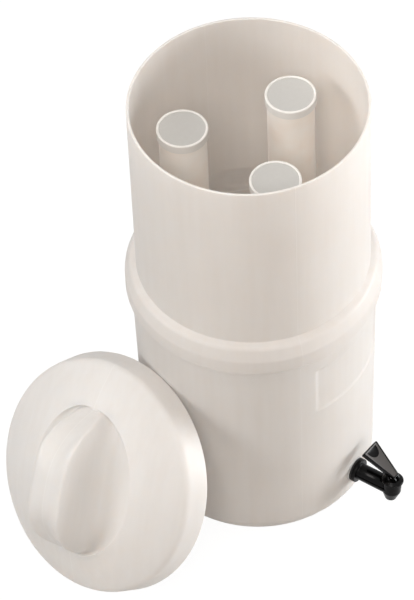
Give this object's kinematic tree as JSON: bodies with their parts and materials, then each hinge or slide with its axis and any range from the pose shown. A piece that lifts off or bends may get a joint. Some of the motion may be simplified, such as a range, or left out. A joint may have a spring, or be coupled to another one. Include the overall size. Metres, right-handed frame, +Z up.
{
  "type": "gravity water filter",
  "caption": "Two-tier white plastic gravity water filter with ceramic candles in the upper vessel, a black lever tap on the lower one and its domed lid leaning against it.",
  "frame": {"origin": "centre of the flat underside of the lower vessel", "axes": "+Z up along both vessels' shared axis, -Y towards the side seen in the picture, +X towards the side with the tap"},
  "size_m": [0.4449, 0.382, 0.5683],
  "materials": {
    "milky_plastic": "smooth satin polyethylene, slightly translucent",
    "porous_ceramic": "unglazed, matt, cream",
    "pale_plastic": "satin, light warm grey",
    "black_plastic": "moulded, semi-gloss black",
    "black_rubber": "matt",
    "white_rubber": "matt, translucent white",
    "spring_steel": "bright drawn wire"
  },
  "bodies": {
    "base": {"lower_vessel": "milky_plastic", "tap_body": "black_plastic", "tap_outer_washer": "black_rubber", "tap_inner_washer": "black_rubber", "tap_nut": "black_plastic", "tap_bonnet": "black_plastic", "valve_spring": "spring_steel"},
    "stem": {"valve_stem": "black_plastic", "valve_seal": "black_rubber", "lever_pin": "spring_steel"},
    "lever": {"tap_lever": "black_plastic"},
    "upper": {"upper_vessel": "milky_plastic", "candle_ceramic_1": "porous_ceramic", "candle_cap_1": "pale_plastic", "candle_mount_1": "pale_plastic", "candle_gasket_1": "white_rubber", "candle_washer_1": "pale_plastic", "candle_wing_nut_1": "pale_plastic", "candle_ceramic_2": "porous_ceramic", "candle_cap_2": "pale_plastic", "candle_mount_2": "pale_plastic", "candle_gasket_2": "white_rubber", "candle_washer_2": "pale_plastic", "candle_wing_nut_2": "pale_plastic", "candle_ceramic_3": "porous_ceramic", "candle_cap_3": "pale_plastic", "candle_mount_3": "pale_plastic", "candle_gasket_3": "white_rubber", "candle_washer_3": "pale_plastic", "candle_wing_nut_3": "pale_plastic"},
    "lid": {"lid": "milky_plastic"}
  },
  "joints": [
    {"name": "upper_lift", "type": "slide", "parent": "base", "child": "upper", "axis": [0, 0, 1], "range_m": [0, 0.13]},
    {"name": "lid_lift", "type": "slide", "parent": "base", "child": "lid", "axis": [-0.6094, -0.5989, 0.5195], "range_m": [0, 0.25]},
    {"name": "stem_lift", "type": "slide", "parent": "base", "child": "stem", "axis": [0.0844, 0.1214, 0.989], "range_m": [0, 0.003], "deforming": ["valve_spring"]},
    {"name": "lever_turn", "type": "hinge", "parent": "stem", "child": "lever", "pos_m": [0.14859, -0.10018, 0.06301], "axis": [0.5645, 0.8121, -0.1478], "range_deg": [0, 58.5], "stiffness_Nm_per_rad": 0.04}
  ],
  "couplings": [
    {"joint": "stem_lift", "follows": "lever_turn", "m_per_rad": 0.0029382}
  ]
}
